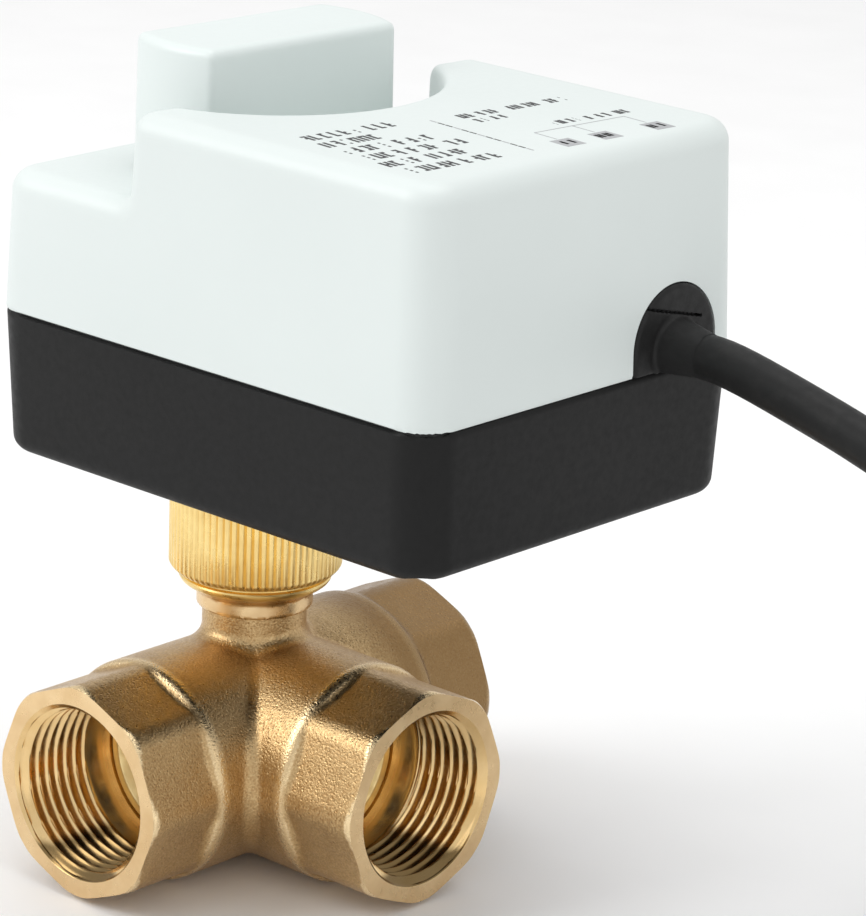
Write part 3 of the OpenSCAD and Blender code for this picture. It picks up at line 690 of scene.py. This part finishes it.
def make_tie(path):
    """A strap drawn round the turns where they pass one angle of the coil, with its locking head."""
    a = math.radians(TIE_AT)
    out = np.array([math.cos(a), math.sin(a)])
    rel = path[:, :2] - COIL
    off = np.abs(rel @ np.array([-out[1], out[0]]))
    near = [i for i in range(1, len(path) - 1)
            if off[i] < 4 and rel[i] @ out > 0 and off[i] <= off[i - 1] and off[i] <= off[i + 1]]
    grip = CABLE_D / 2 + 0.05
    loop = hull([(rel[i] @ out + grip * math.cos(w), path[i, 2] + grip * math.sin(w))
                 for i in near for w in np.linspace(0, 2 * math.pi, 32, endpoint=False)])
    wide, thick = 3.6, 0.9
    section = ((0, -1), (thick * 0.8, -1), (thick, -0.85), (thick, 0.85), (thick * 0.8, 1), (0, 1))
    verts, faces, n = [], [], len(loop)
    for k in range(n):
        d = loop[(k + 1) % n] - loop[k - 1]
        normal = np.array([d[1], -d[0]]) / np.linalg.norm(d)
        for grow, side in section:
            r, z = loop[k] + normal * grow
            verts.append((r, side * wide / 2, z))
    for k in range(n):
        j = (k + 1) % n
        faces += [(k * 6 + c, k * 6 + (c + 1) % 6, j * 6 + (c + 1) % 6, j * 6 + c) for c in range(6)]
    top = loop[:, 1].max()
    at = loop[loop[:, 1] > top - 0.02].mean(0)
    head_x, head_y, head_low, head_high = 3.2, 2.9, 0.2, 3.6
    head = box_mesh((at[0] - head_x, -head_y, top + head_low), (at[0] + head_x, head_y, top + head_high))
    v, f = merged([(np.array(verts), faces), head])
    turn = np.array([[out[0], -out[1], 0], [out[1], out[0], 0], [0, 0, 1]])
    v = v @ turn.T + np.array([COIL[0], COIL[1], 0])
    me = bpy.data.meshes.new("coil_strap")
    me.from_pydata((v * MM).tolist(), [], f)
    tie = bpy.data.objects.new("coil_strap", me)
    scene.collection.objects.link(tie)
    soften(tie, 0.35)
    me.materials.append(M["strap"])
    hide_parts("coil_tie")
    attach(tie, "housing")
    return tie


make_cable()


# ---------------------------------------------------------------- valve body

def octagon(p, q, corner=6.4):
    """Distance to the octagon with a corner on each axis, its corners rounded."""
    rho, phi = np.hypot(p, q), np.arctan2(q, p)
    fold = np.abs((phi % (math.pi / 4)) - math.pi / 8)
    u, v = rho * np.cos(fold), rho * np.sin(fold)
    cu = OCT_HALF - corner
    cv = cu * math.tan(math.pi / 8)
    return np.where(v > cv, np.hypot(np.maximum(u - cu, 0), v - cv) - corner, u - OCT_HALF)


def leg_field(s, p, q):
    """One leg of the body along s: a round tube that steps down to the flats of its port end."""
    rho = np.hypot(p, q)
    ramp = (rho - TUBE_R) * 0.6 + (s - FLATS_FROM) * 0.8
    pipe = meet(rho - TUBE_R, ramp, 0.7)
    port = meet(octagon(p, q), 20.0 - s, 0.5)
    port = meet(port, (rho - 20.1 - (PORT_REACH - s) * 0.85) * 0.76, 0.4)
    both = join(pipe, port, 0.5)
    return np.maximum(both, s - PORT_REACH - 1.4)


def casting_field(x, y, z):
    run = leg_field(np.abs(y), x, z)
    branch = np.maximum(leg_field(x, y, z), -x - 2)
    crease = 0.05 + 2.6 * np.clip(1 - (z / TUBE_R) ** 2, 0, 1)
    body = join(run, branch, crease)
    around = np.hypot(x, y)
    neck = np.maximum(around - NECK_R, z - SPIGOT_Z - 0.4)
    body = join(body, np.maximum(neck, 8 - z), 2.4)
    collar = COLLAR_R + (SPIGOT_R - COLLAR_R) * np.clip((z - 29.2) / 1.3, 0, 1)
    spigot = meet(around - collar, SPIGOT_Z - z, 0.35)
    spigot = meet(spigot, z - NECK_TOP, 0.5)
    return join(body, spigot, 0.3)


def port_cutter():
    """Bore of one port along Z: chamber, relief, helical pipe thread and mouth chamfer."""
    sides = 144
    seat_end, thread_start = 22.5, 27.5
    rows = [-0.7, seat_end, seat_end + 0.01, 24, 26, 27.4]
    rows += list(np.arange(27.8, PORT_REACH, THREAD_PITCH / 14)) + [PORT_REACH, 45.4, 47.5]
    th = np.arange(sides) * 2 * math.pi / sides
    verts = []
    for s in rows:
        if s <= seat_end:
            r = np.full(sides, SEAT_BORE_R)
        elif s < thread_start:
            r = np.full(sides, RELIEF_R)
        else:
            w = (s / THREAD_PITCH - th / (2 * math.pi)) % 1.0
            tri = 1 - np.abs(2 * w - 1)
            tooth = np.clip(tri * 1.22 - 0.11, 0, 1)
            tooth = tooth * tooth * (3 - 2 * tooth) * 0.35 + tooth * 0.65
            r = THREAD_R + THREAD_DEPTH * tooth
            run_in = np.clip((s - 27.6) / 1.2, 0, 1)
            r = RELIEF_R * (1 - run_in) + r * run_in
            r = np.maximum(r, THREAD_R + np.clip(s - 43.4, 0, 1.6))
            r = np.where(s >= PORT_REACH, THREAD_R + 1.6, r)
        verts += [(r[i] * math.cos(th[i]), r[i] * math.sin(th[i]), s) for i in range(sides)]
    faces, n = [], len(rows)
    for a in range(n - 1):
        for i in range(sides):
            j = (i + 1) % sides
            faces.append((a * sides + i, a * sides + j, (a + 1) * sides + j, (a + 1) * sides + i))
    faces.append(tuple(range(sides))[::-1])
    faces.append(tuple((n - 1) * sides + i for i in range(sides)))
    return np.array(verts), faces


def mark_wear_and_painted_light(body):
    """Point attributes of the casting: one for polished edges, which also holds a painted highlight band round
    each leg, and one for painted shade on the back leg and at the bottom of the bores.
    """
    co = valve_mm(body)
    e = 0.25
    bend = -6 * casting_field(*co.T)
    for k in range(3):
        s = np.zeros(3)
        s[k] = e
        bend += casting_field(*(co + s).T) + casting_field(*(co - s).T)
    bend /= e * e
    on_skin = np.abs(casting_field(*co.T)) < 0.05
    along = np.maximum(co[:, 0], np.abs(co[:, 1]))
    # painted highlight: a bright band round each leg just before its tube steps down to the flats
    ring = np.clip(1.5 - np.abs(along - FLATS_FROM + 0.9) / 0.9, 0, 1) * (along > 24)
    # edge wear: convex edges polished bright
    edge = np.where(on_skin, np.clip((bend - 0.2) / 1.0, 0, 1), 0)
    edge = np.maximum(edge, np.where(on_skin, ring * 0.65, 0))
    # painted shade: the back leg is darkened, since less light reaches it
    back_leg = np.clip((co[:, 1] - 15) / 9, 0, 1)
    # painted shade: the lower part of each threaded bore is darkened, where shadow falls in it
    low_bore = np.clip((-co[:, 2] - 12.3) / 1.1, 0, 1) * np.clip(along - 27, 0, 1)
    painted_shade = np.where(on_skin, back_leg, low_bore * (along < PORT_REACH - 0.02))
    for name, value in (("edge", edge), ("painted_shade", painted_shade)):
        body.data.attributes.new(name, "FLOAT", "POINT").data.foreach_set("value", value)


def paint_casting(body):
    """Cast skin, machined port faces and spigot, and thread in the bores."""
    me = body.data
    me.materials.clear()
    for m in (M["cast"], M["face"], M["thread"]):
        me.materials.append(m)
    cast, face, thread = range(3)
    n = len(me.polygons)
    c, normal = np.zeros(n * 3), np.zeros(n * 3)
    me.polygons.foreach_get("center", c)
    me.polygons.foreach_get("normal", normal)
    c = (c.reshape(-1, 3) - np.array([STEM_X, 0, PORT_Z])) / MM
    normal = normal.reshape(-1, 3)
    skin = np.abs(casting_field(*c.T)) < 0.12
    index = np.where(skin, cast, thread)
    ends = (np.abs(np.abs(c[:, 1]) - PORT_REACH) < 0.02) & (np.abs(normal[:, 1]) > 0.9)
    ends |= (np.abs(c[:, 0] - PORT_REACH) < 0.02) & (np.abs(normal[:, 0]) > 0.9)
    spigot = skin & (c[:, 2] > SPIGOT_Z - 0.05) & (np.hypot(c[:, 0], c[:, 1]) > COLLAR_R - 0.5)
    index[ends | spigot] = face
    me.polygons.foreach_set("material_index", index.astype(np.int32))


def make_body():
    P, Q = surface(casting_field, (-23, -48, -23), (48, 48, 46), 0.5)
    body = mesh_object("brass_casting", P, Q)
    slab, slab_faces = box_mesh((-30, -30, PORT_REACH), (30, 30, 60))
    for axis in PORTS:
        boolean(body, mesh_object("tool", turned(slab, axis), slab_faces))
    v, f = port_cutter()
    for axis in PORTS:
        boolean(body, mesh_object("tool", turned(v, axis), f))
    wide, narrow, shoulder, low, high = 7.2, 5.1, 18.9, 5, 46
    stem_hole = [
        (wide, low), (wide, shoulder), (narrow, shoulder), (narrow, high), (0.001, high), (0.001, low),
    ]
    boolean(body, mesh_object("tool", *lathe([(r, z, 0) for r, z in stem_hole], 72)))
    mark_wear_and_painted_light(body)
    paint_casting(body)
    finish_mesh(body, 34)
    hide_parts("valve_body")
    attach(body, "housing")


def make_retainers():
    """Turned rings that hold the seats, with a deep cone at the mouth and two spanner slots."""
    profile = [
        (10.3, 15.6, 0), (10.3, 18.6, 0), (10.45, 18.9, 0), (13.0, 21.9, 0), (13.25, 22.1, 0),
        (13.45, 22.15, 0), (14.7, 22.15, 0), (15.05, 21.8, 0), (15.1, 21.5, 0), (15.1, 15.6, 0),
    ]
    v, f = lathe(profile, 128)
    rings = [(turned(v, axis), f) for axis in PORTS]
    retainers = mesh_object("seat_retainer_rings", *merged(rings), sharp=50, mats=[M["ring"]])
    slot_half, slot_floor = 1.3, 20.7
    slot, slot_faces = box_mesh((-slot_half, -16, slot_floor), (slot_half, 16, 24))
    for axis in PORTS:
        boolean(retainers, mesh_object("tool", turned(slot, axis), slot_faces))
    finish_mesh(retainers, 40)
    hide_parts("seat_retainers")
    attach(retainers, "housing")


make_body()
make_retainers()


# ---------------------------------------------------------------- coupling nut

def make_nut():
    flutes, flute_depth = 72, 0.42

    def wave(w):
        """Depth of the flutes at an angle round the nut."""
        x = (w * flutes / (2 * math.pi)) % 1.0
        d = abs(x - 0.5) * 2
        return flute_depth * (1 - min(1.0, d / 0.5)) ** 0.8 if d < 0.5 else 0.0

    lip = [
        (12.45, 30.95, 0), (12.6, 30.8, 0), (12.95, 30.8, 0), (13.4, 30.95, 0), (13.9, 31.35, 0),
        (14.25, 31.85, 0), (14.35, 32.2, 0), (14.2, 32.5, 0), (13.9, 32.62, 0), (13.62, 32.7, 0),
    ]
    groove = [(13.55, 32.85, 0), (13.55, 33.3, 0), (13.85, 33.42, 0)]
    grip = [
        (15.0, 33.45, 0.0), (15.25, 33.55, 0.1), (15.95, 34.3, 0.75), (16.2, 34.75, 1), (16.2, 51.0, 1),
        (16.05, 51.4, 0.8), (15.55, 51.85, 0.2), (15.2, 51.98, 0),
    ]
    top_and_bore = [(11, 52, 0), (9.75, 52, 0), (9.6, 51.85, 0), (9.6, 46.5, 0), (12.4, 46.5, 0)]
    profile = lip + groove + grip + top_and_bore
    nut = mesh_object("knurled_nut", *lathe(profile, flutes * 10, wave), sharp=38, mats=[M["nut"]])
    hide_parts("coupling_nut")
    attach(nut, "nut")


make_nut()


# ---------------------------------------------------------------- housing

def box_side(x, y, m, corner):
    """Distance to the housing's upright sides, drawn in by m for their draft."""
    return rounded_rect(x, y, BOX_X0 + m, BOX_X1 - m, BOX_Y - m, corner) * 0.99


def base_field(x, y, z):
    side = box_side(x, y, (SEAM_Z - z) * BASE_DRAFT, CORNER_R + 0.8)
    skin = meet(side, BASE_Z - z, 2.7)
    room = np.maximum(skin + BASE_WALL, BASE_Z + 2.5 - z)
    for sx, sy in SCREWS:
        room = np.maximum(room, BOSS_R - np.hypot(x - sx, y - sy))
    shell = np.maximum(meet(skin, z - SEAM_Z + 0.12, 0.35), -room)
    collar = np.maximum(np.hypot(x, y) - BASE_COLLAR_R, z - BASE_Z - 1.5)
    collar = meet(collar, BASE_COLLAR_Z - z, 0.8)
    return join(shell, collar, 1.4)


def make_base():
    P, Q = surface(base_field, (-29, -43.2, 53), (81, 43.2, 86.6), 0.72)
    base = mesh_object("base_moulding", P, Q, mats=[M["base"]])
    boolean(base, mesh_object("tool", *cylinder(BASE_BORE_R, 50, 63)))
    for at in SCREWS:
        boolean(base, mesh_object("tool", *cylinder(SCREW_HEAD_R, 57, 64, 48, at)))
        boolean(base, mesh_object("tool", *cylinder(SCREW_HOLE_R, 60, 88, 32, at)))
    finish_mesh(base, 40)
    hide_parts("base_shell")
    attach(base, "housing")


def cover_skin(x, y, z):
    side = box_side(x, y, (z - SEAM_Z) * COVER_DRAFT, CORNER_R + 0.4)
    step = (STEP_X - x) * math.cos(STEP_SLANT) + y * math.sin(STEP_SLANT)
    step += (z - DECK_Z) * 0.04 - 1.8
    recess = RECESS_R - np.hypot(x, y)
    raised = meet(meet(z - TOP_Z, step, 3.2), recess, 1.5)
    top = join(z - DECK_Z, raised, 1.8)
    return meet(side, top, 3.9)


def cover_field(x, y, z):
    skin = cover_skin(x, y, z)
    room = skin + COVER_WALL
    for sx, sy in SCREWS:
        room = np.maximum(room, BOSS_R + 0.1 - np.hypot(x - sx, y - sy))
    return np.maximum(meet(skin, SEAM_Z + 0.14 - z, 0.3), -room)


def arch_prism(r, x0, x1, foot, sides=48):
    """The arched outlet's outline, standing from x0 to x1."""
    ring = [(OUTLET_Y - r, foot), (OUTLET_Y + r, foot)]
    for w in np.linspace(0, math.pi, sides):
        ring.append((OUTLET_Y + r * math.cos(w), ARCH_Z + r * math.sin(w)))
    verts = [(x, y, z) for x in (x0, x1) for y, z in ring]
    n = len(ring)
    faces = [(i, (i + 1) % n, n + (i + 1) % n, n + i) for i in range(n)]
    return np.array(verts), faces + [tuple(range(n))[::-1], tuple(range(n, 2 * n))]


def make_cover():
    P, Q = surface(cover_field, (-29, -43.2, 84.6), (81, 43.2, 128.6), 0.72)
    cover = mesh_object("cover_moulding", P, Q, mats=[M["cover"]])
    boolean(cover, mesh_object("tool", *cylinder(SHAFT_HOLE_R, 100, 118, 64)))
    for at in SCREWS:
        boolean(cover, mesh_object("tool", *cylinder(PILOT_R, 80, 102, 32, at)))
    boolean(cover, mesh_object("tool", *arch_prism(ARCH_R, 74, 84, 80)))
    finish_mesh(cover, 40)
    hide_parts("cover_shell")
    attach(cover, "housing")


def knob_field(x, y, z):
    u = x * math.cos(KNOB_TURN) - y * math.sin(KNOB_TURN)
    v = x * math.sin(KNOB_TURN) + y * math.cos(KNOB_TURN)
    lean = (z - DECK_Z) * 0.012
    flat = np.abs(u) - (KNOB_HALF - lean)
    ends = np.hypot(u, v) - (KNOB_R - lean)
    body = meet(flat, ends, 0.9)
    body = meet(body, z - KNOB_TOP, 1.7)
    room = np.maximum(np.maximum(body + COVER_WALL, -(np.hypot(u, v) - 8)), z - KNOB_TOP + 2)
    body = meet(body, DECK_Z + 0.8 - z, 0.4)
    return np.maximum(body, -room)


def make_knob():
    P, Q = surface(knob_field, (-15, -27, 111), (15, 27, 137), 0.5)
    knob = mesh_object("knob_moulding", P, Q, mats=[M["knob"]])
    boolean(knob, mesh_object("tool", *cylinder(KNOB_BORE_R, 108, KNOB_BORE_TOP, 64)))
    finish_mesh(knob, 40)
    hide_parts("knob")
    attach(knob, "spindle")


def gland_field(x, y, z):
    """Arched plate with a dish, from which a nose tapers on to the cable; a crease runs above the nose."""
    u, v = y - OUTLET_Y, z - ARCH_Z
    away = np.hypot(u, z - OUTLET_Z)
    behind_or_below = np.maximum(75.2 - x, SEAM_Z + 0.1 - z)
    arch = np.where(v > 0, np.hypot(u, v), np.abs(u)) - (ARCH_R - 0.2)
    plate = meet(arch, x - 79.5, 0.9)
    dish = 7.2 - np.sqrt(away ** 2 + (x - 83.4) ** 2)
    plate = np.maximum(meet(plate, dish, 0.9), behind_or_below)
    nose_r = CABLE_D / 2 - 0.1 + 1.9 * np.clip((NOSE_END - x) / 9, 0, 1) ** 1.1
    nose = np.maximum(meet(away - nose_r, x - NOSE_END, 0.05), behind_or_below)
    body = join(plate, nose, 1.2)
    crease = np.abs(z - 95.6 + u * 0.25) - 0.2
    crease = np.maximum(crease, np.maximum(np.abs(u + 0.8) - 7.6, 78.2 - x))
    return np.maximum(body, -np.maximum(crease, 5.3 - away))


def make_gland():
    P, Q = surface(gland_field, (74.6, 10.5, 84.8), (88.2, 34.2, 101.6), 0.3)
    gland = mesh_object("cable_bush", P, Q, mats=[M["gland"]])
    v, f = cylinder(CABLE_D / 2 + 0.03, 60, 90, 64)
    v = np.stack([v[:, 2], v[:, 0] + OUTLET_Y, v[:, 1] + OUTLET_Z], 1)
    boolean(gland, mesh_object("tool", v, f))
    finish_mesh(gland, 40)
    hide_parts("cable_gland")
    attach(gland, "housing")


make_base()
make_cover()
make_knob()
make_gland()


# ---------------------------------------------------------------- print on the cover

def make_print():
    """Generic greeked print: rows of strokes that spell nothing, a divider and a small line diagram."""
    rng = random.Random(7)
    dark, pale = [], []
    z, stroke, first_row, row_pitch = TOP_Z, 0.62, 41.0, 5.3
    centre = np.array([57, 0, 0])
    turn = np.array(Matrix.Rotation(-STEP_SLANT, 3, "Z"))

    def bar(into, x0, x1, y0, y1):
        into.append(box_mesh((min(x0, x1), min(y0, y1), z - 0.02), (max(x0, x1), max(y0, y1), z + 0.03)))

    def glyph(x, y, h, w):
        """Strokes in a small cell; a row's upper side is towards -X."""
        left, right = y + stroke + 0.05, y + w - stroke - 0.05
        for k in rng.sample(range(5), rng.choice((2, 3, 3))):
            if k == 0:
                bar(dark, x, x + h, y, y + stroke)
            elif k == 1:
                bar(dark, x, x + h, y + w - stroke, y + w)
            elif k == 2:
                bar(dark, x, x + stroke, left, right)
            elif k == 3:
                bar(dark, x + (h - stroke) / 2, x + (h + stroke) / 2, left, right)
            else:
                bar(dark, x + h - stroke, x + h, left, right)

    def row(x, y0, words, h, w):
        y = y0
        for n in words:
            for _ in range(n):
                glyph(x, y, h, w)
                y += w + 0.42
            y += 1.5

    for i, (y0, words) in enumerate((
        (-33, (6, 3)), (-33, (6,)), (-33.5, (5, 4)), (-33, (4, 3, 2)), (-33.5, (4, 4)), (-33, (5, 4)),
    )):
        row(first_row + i * row_pitch, y0, words, 3.3, 1.75)
    for i in range(13):
        bar(dark if i % 3 else pale, 44.6 + i * 2.02, 46.3 + i * 2.02, -5.8, -5.45)
    row(44.2, 0.4, (5, 4, 3), 2.6, 1.5)
    row(48.2, 0.2, (4,), 2.3, 1.5)
    row(57.0, 10.2, (4,), 2.4, 1.4)
    row(57.4, 18.6, (3, 2), 2.4, 1.4)
    for y in (3.2, 12.2, 24.8):
        bar(pale, 67.4, 72.0, y - 2.2, y + 2.2)
        row(68.5, y - 1.9, (2,), 2.2, 1.4)
        bar(pale, 61.5, 67.0, y - 0.12, y + 0.12)
    bar(pale, 61.3, 61.55, 3.2, 24.8)
    for name, parts, mat in (("print_dark", dark, M["ink"]), ("print_pale", pale, M["pale_ink"])):
        v, f = merged(parts)
        ob = mesh_object(name, (v - centre) @ turn.T + centre, f, mats=[mat])
        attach(ob, "housing")


make_print()


# ---------------------------------------------------------------- materials of the CAD nodes that stay

CARRIED = {
    "seat_rings": "ptfe", "ball": "chrome", "stem": "face", "stem_orings": "oring",
    "thrust_washer": "ptfe", "mounting_sleeve": "diecast", "cover_gasket": "oring", "cover_screws": "steel",
    "output_shaft": "shaft", "shaft_seal": "oring", "output_gear": "gear", "idler_gear": "gear",
    "idler_axle": "shaft", "motor_pinion": "face", "gear_plate": "steel", "plate_pillars": "steel",
    "motor": "can", "motor_screws": "steel", "open_cam": "cam", "closed_cam": "cam",
    "open_switch": "switch", "closed_switch": "switch", "open_lever": "strip",
    "closed_lever": "strip", "switch_screws": "steel",
    "circuit_board": "board", "board_posts": "steel", "board_screws": "steel", "run_capacitor": "capacitor",
    "relay": "relay", "cable_clamp": "switch", "clamp_screws": "steel", "cable_tail": "jacket",
    "wire_ferrules": "tinned",
}
CORES = ("inner_wires", "core_wires")
for name, key in CARRIED.items():
    me = NODES[name].data
    if not me.materials:
        me.materials.append(M[key])
    for i in range(len(me.materials)):
        me.materials[i] = M[key]


def colour_cores(name):
    """Gives each separate core of a node its own insulation colour."""
    me = NODES[name].data
    places = {}
    at = [places.setdefault(tuple(round(c, 6) for c in v.co), len(places)) for v in me.vertices]
    link = list(range(len(places)))

    def first(i):
        while link[i] != i:
            i = link[i]
        return i

    for e in me.edges:
        a, b = (first(at[i]) for i in e.vertices)
        link[max(a, b)] = min(a, b)
    core = [first(at[p.vertices[0]]) for p in me.polygons]
    number = {k: i % 3 for i, k in enumerate(dict.fromkeys(core))}
    me.materials.clear()
    for key in ("brown", "blue", "earth"):
        me.materials.append(M[key])
    me.polygons.foreach_set("material_index", [number[k] for k in core])


for name in CORES:
    colour_cores(name)


# ---------------------------------------------------------------- stage

def make_stage():
    me = bpy.data.meshes.new("floor")
    me.from_pydata([(-4, -4, 0), (4, -4, 0), (4, 4, 0), (-4, 4, 0)], [], [(0, 1, 2, 3)])
    floor = bpy.data.objects.new("floor", me)
    scene.collection.objects.link(floor)
    g = Graph("floor_paper", (0.93, 0.93, 0.93), 0.75)
    uneven = g.span(g.noise(30, 2), 0.3, 0.7, 0, 1)
    me.materials.append(g.done(g.mix(uneven, (0.92, 0.92, 0.92), (0.94, 0.94, 0.94))))

    world = bpy.data.worlds.new("studio")
    scene.world = world
    world.use_nodes = True
    background = world.node_tree.nodes["Background"]
    background.inputs["Color"].default_value = (1, 1, 1, 1)
    background.inputs["Strength"].default_value = 0.78

    def lamp(name, at, size, power, target=(0, 0, 0.07), shape_y=None):
        data = bpy.data.lights.new(name, "AREA")
        data.shape = "RECTANGLE"
        data.size = size
        data.size_y = shape_y or size
        data.energy = power
        ob = bpy.data.objects.new(name, data)
        scene.collection.objects.link(ob)
        ob.location = at
        ob.rotation_mode = "QUATERNION"
        ob.rotation_quaternion = (Vector(target) - Vector(at)).to_track_quat("-Z", "Y")

    lamp("key", (-0.75, -0.95, 0.95), 0.7, 7)
    lamp("top", (0.1, 0.1, 1.25), 0.9, 4.5)
    lamp("side", (1.1, -0.15, 0.35), 0.5, 0.5, shape_y=0.8)
    scene.view_settings.view_transform = "Standard"
    scene.view_settings.look = "None"


make_stage()
